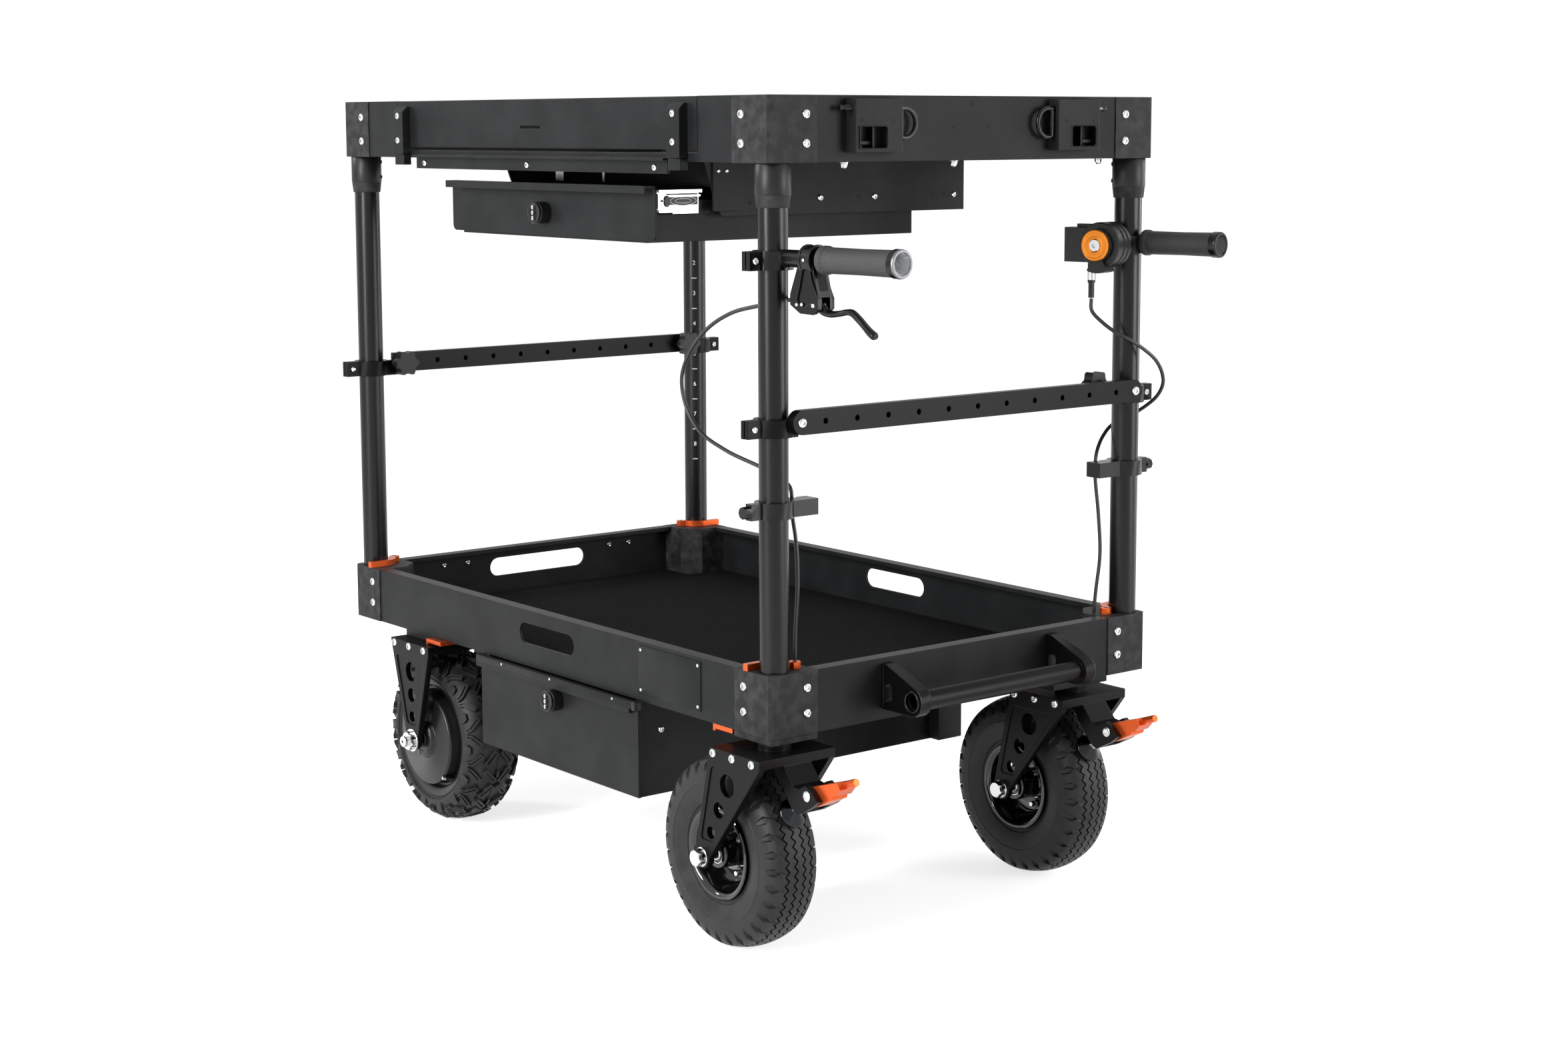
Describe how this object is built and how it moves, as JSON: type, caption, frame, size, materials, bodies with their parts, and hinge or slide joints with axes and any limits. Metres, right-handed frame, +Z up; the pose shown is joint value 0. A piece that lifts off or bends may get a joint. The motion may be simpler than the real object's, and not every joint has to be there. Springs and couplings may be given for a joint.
{
  "type": "camera cart",
  "caption": "Two-deck rolling camera cart on driven wheels and swivel casters, with drawers, drop door, tow bar, brake and throttle handles.",
  "frame": {"origin": "on the ground under the middle of the whole cart's bounding box", "axes": "+X towards the end with the handles, +Y away from the side with the drop door, +Z up"},
  "size_m": [1.2686, 0.7616, 1.1],
  "materials": {
    "satin_black_coat": "fine-textured satin black powder coat",
    "black_casting": "moulded black with a mottled grain",
    "black_anodised": "satin black anodised tube",
    "orange_anodised": "orange anodised",
    "black_rubber": "matt",
    "tyre_black": "matt tread",
    "black_carpet": "short pile",
    "bright_steel": "bright",
    "black_plastic": "satin moulded",
    "black_steel": "gloss black"
  },
  "bodies": {
    "cart": {"lower_tray": "satin_black_coat", "upper_tray": "satin_black_coat", "lower_corner_handle_door": "black_casting", "upper_corner_handle_door": "black_casting", "post_handle_door": "black_anodised", "lower_corner_handle_far": "black_casting", "upper_corner_handle_far": "black_casting", "post_handle_far": "black_anodised", "lower_corner_drive_door": "black_casting", "upper_corner_drive_door": "black_casting", "post_drive_door": "black_anodised", "lower_corner_drive_far": "black_casting", "upper_corner_drive_far": "black_casting", "post_drive_far": "black_anodised", "lower_mat": "black_carpet", "lower_cabinet": "satin_black_coat", "drive_fork_door": "black_steel", "drive_fork_far": "black_steel", "tow_handle": "black_anodised", "end_rail": "black_anodised", "left_rail": "black_anodised", "brake_mount": "black_anodised", "brake_grip": "black_rubber", "throttle_mount": "black_plastic", "throttle_grip": "black_rubber", "brake_cable": "black_rubber", "throttle_cable": "black_rubber"},
    "post_clamp_handle_door": {"post_clamp_lever_handle_door": "orange_anodised"},
    "post_clamp_handle_far": {"post_clamp_lever_handle_far": "orange_anodised"},
    "post_clamp_drive_door": {"post_clamp_lever_drive_door": "orange_anodised"},
    "post_clamp_drive_far": {"post_clamp_lever_drive_far": "orange_anodised"},
    "wheel_release_handle_door": {"wheel_release_lever_handle_door": "orange_anodised"},
    "wheel_release_handle_far": {"wheel_release_lever_handle_far": "orange_anodised"},
    "wheel_release_drive_door": {"wheel_release_lever_drive_door": "orange_anodised"},
    "wheel_release_drive_far": {"wheel_release_lever_drive_far": "orange_anodised"},
    "upper_door": {"upper_door": "satin_black_coat"},
    "upper_drawer": {"upper_drawer": "satin_black_coat"},
    "upper_lock": {"upper_lock_knob": "black_plastic"},
    "lower_drawer": {"lower_drawer": "satin_black_coat"},
    "lower_lock": {"lower_lock_knob": "black_plastic"},
    "caster_door": {"caster_fork_door": "black_steel"},
    "caster_wheel_door": {"caster_rim_door": "black_steel", "caster_tyre_door": "tyre_black"},
    "caster_brake_door": {"caster_brake_lever_door": "orange_anodised"},
    "drive_wheel_door": {"hub_motor_door": "black_steel", "drive_tyre_door": "tyre_black"},
    "caster_far": {"caster_fork_far": "black_steel"},
    "caster_wheel_far": {"caster_rim_far": "black_steel", "caster_tyre_far": "tyre_black"},
    "caster_brake_far": {"caster_brake_lever_far": "orange_anodised"},
    "drive_wheel_far": {"hub_motor_far": "black_steel", "drive_tyre_far": "tyre_black"},
    "star_knob_left_door": {"star_knob_left_door": "black_plastic"},
    "star_knob_left_far": {"star_knob_left_far": "black_plastic"},
    "star_knob_end": {"star_knob_end": "black_plastic"},
    "ring_pin_door": {"ring_pin_door": "black_steel"},
    "ring_pin_far": {"ring_pin_far": "black_steel"},
    "brake_lever": {"brake_lever": "black_anodised"},
    "throttle_dial": {"throttle_dial": "orange_anodised"},
    "throttle_button": {"throttle_button": "black_plastic"}
  },
  "joints": [
    {"name": "post_clamp_handle_door_turn", "type": "hinge", "parent": "cart", "child": "post_clamp_handle_door", "pos_m": [0.41074, -0.27975, 0.38], "axis": [0, 0, -1], "range_deg": [0, 45]},
    {"name": "post_clamp_handle_far_turn", "type": "hinge", "parent": "cart", "child": "post_clamp_handle_far", "pos_m": [0.41074, 0.28525, 0.38], "axis": [0, 0, 1], "range_deg": [0, 45]},
    {"name": "post_clamp_drive_door_turn", "type": "hinge", "parent": "cart", "child": "post_clamp_drive_door", "pos_m": [-0.60826, -0.27975, 0.38], "axis": [0, 0, 1], "range_deg": [0, 45]},
    {"name": "post_clamp_drive_far_turn", "type": "hinge", "parent": "cart", "child": "post_clamp_drive_far", "pos_m": [-0.60826, 0.28525, 0.38], "axis": [0, 0, -1], "range_deg": [0, 45]},
    {"name": "wheel_release_handle_door_turn", "type": "hinge", "parent": "cart", "child": "wheel_release_handle_door", "pos_m": [0.34654, -0.28925, 0.29], "axis": [0, 0, -1], "range_deg": [0, 30]},
    {"name": "wheel_release_handle_far_turn", "type": "hinge", "parent": "cart", "child": "wheel_release_handle_far", "pos_m": [0.34654, 0.19375, 0.29], "axis": [0, 0, 1], "range_deg": [0, 30]},
    {"name": "wheel_release_drive_door_turn", "type": "hinge", "parent": "cart", "child": "wheel_release_drive_door", "pos_m": [-0.36156, -0.30145, 0.29], "axis": [0, 0, 1], "range_deg": [0, 30]},
    {"name": "wheel_release_drive_far_turn", "type": "hinge", "parent": "cart", "child": "wheel_release_drive_far", "pos_m": [-0.36156, 0.30695, 0.29], "axis": [0, 0, -1], "range_deg": [0, 30]},
    {"name": "upper_door_fold", "type": "hinge", "parent": "cart", "child": "upper_door", "pos_m": [-0.09126, -0.34925, 1.022], "axis": [1, 0, 0], "range_deg": [0, 90]},
    {"name": "upper_drawer_slide", "type": "slide", "parent": "cart", "child": "upper_drawer", "axis": [0, -1, 0], "range_m": [-0.078, 0.222]},
    {"name": "upper_lock_turn", "type": "hinge", "parent": "upper_drawer", "child": "upper_lock", "pos_m": [-0.10676, -0.31725, 0.9425], "axis": [0, 1, 0], "range_deg": [0, 90]},
    {"name": "lower_drawer_slide", "type": "slide", "parent": "cart", "child": "lower_drawer", "axis": [0, -1, 0], "range_m": [0, 0.3]},
    {"name": "lower_lock_turn", "type": "hinge", "parent": "lower_drawer", "child": "lower_lock", "pos_m": [-0.05376, -0.34225, 0.259], "axis": [0, 1, 0], "range_deg": [0, 90]},
    {"name": "caster_swivel_door", "type": "hinge", "parent": "cart", "child": "caster_door", "pos_m": [0.41074, -0.31275, 0.281], "axis": [0, 0, 1], "continuous": true},
    {"name": "caster_wheel_spin_door", "type": "hinge", "parent": "caster_door", "child": "caster_wheel_door", "pos_m": [0.33624, -0.31275, 0.1275], "axis": [0, 1, 0], "continuous": true},
    {"name": "caster_brake_door_press", "type": "hinge", "parent": "caster_door", "child": "caster_brake_door", "pos_m": [0.50274, -0.31275, 0.236], "axis": [0, 1, 0], "range_deg": [0, 20]},
    {"name": "drive_wheel_spin_door", "type": "hinge", "parent": "cart", "child": "drive_wheel_door", "pos_m": [-0.42376, -0.28525, 0.132], "axis": [0, 1, 0], "continuous": true},
    {"name": "caster_swivel_far", "type": "hinge", "parent": "cart", "child": "caster_far", "pos_m": [0.41074, 0.21675, 0.281], "axis": [0, 0, 1], "continuous": true},
    {"name": "caster_wheel_spin_far", "type": "hinge", "parent": "caster_far", "child": "caster_wheel_far", "pos_m": [0.33624, 0.21675, 0.1275], "axis": [0, 1, 0], "continuous": true},
    {"name": "caster_brake_far_press", "type": "hinge", "parent": "caster_far", "child": "caster_brake_far", "pos_m": [0.50274, 0.21675, 0.236], "axis": [0, 1, 0], "range_deg": [0, 20]},
    {"name": "drive_wheel_spin_far", "type": "hinge", "parent": "cart", "child": "drive_wheel_far", "pos_m": [-0.42376, 0.29075, 0.132], "axis": [0, 1, 0], "continuous": true},
    {"name": "star_knob_left_door_turn", "type": "hinge", "parent": "cart", "child": "star_knob_left_door", "pos_m": [-0.57876, -0.27225, 0.695], "axis": [1, 0, 0], "continuous": true},
    {"name": "star_knob_left_far_turn", "type": "hinge", "parent": "cart", "child": "star_knob_left_far", "pos_m": [-0.57876, 0.27775, 0.695], "axis": [1, 0, 0], "continuous": true},
    {"name": "star_knob_end_turn", "type": "hinge", "parent": "cart", "child": "star_knob_end", "pos_m": [0.42424, 0.25075, 0.704], "axis": [1, 0, 0], "continuous": true},
    {"name": "ring_pin_door_pull", "type": "slide", "parent": "cart", "child": "ring_pin_door", "axis": [0, 1, 0], "range_m": [0, 0.018], "stiffness_N_per_m": 300},
    {"name": "ring_pin_far_pull", "type": "slide", "parent": "cart", "child": "ring_pin_far", "axis": [0, -1, 0], "range_m": [0, 0.018], "stiffness_N_per_m": 300},
    {"name": "brake_lever_squeeze", "type": "hinge", "parent": "cart", "child": "brake_lever", "pos_m": [0.49541, -0.30534, 0.843], "axis": [0.0872, -0.9962, 0], "range_deg": [0, 22], "stiffness_Nm_per_rad": 2, "springref_deg": -11.46},
    {"name": "throttle_dial_turn", "type": "hinge", "parent": "cart", "child": "throttle_dial", "pos_m": [0.43031, 0.23852, 0.8984], "axis": [0.1908, -0.9816, 0], "range_deg": [0, 50], "stiffness_Nm_per_rad": 0.2, "springref_deg": -17.19},
    {"name": "throttle_button_press", "type": "slide", "parent": "cart", "child": "throttle_button", "axis": [0, 0, -1], "range_m": [0, 0.002], "stiffness_N_per_m": 400}
  ]
}
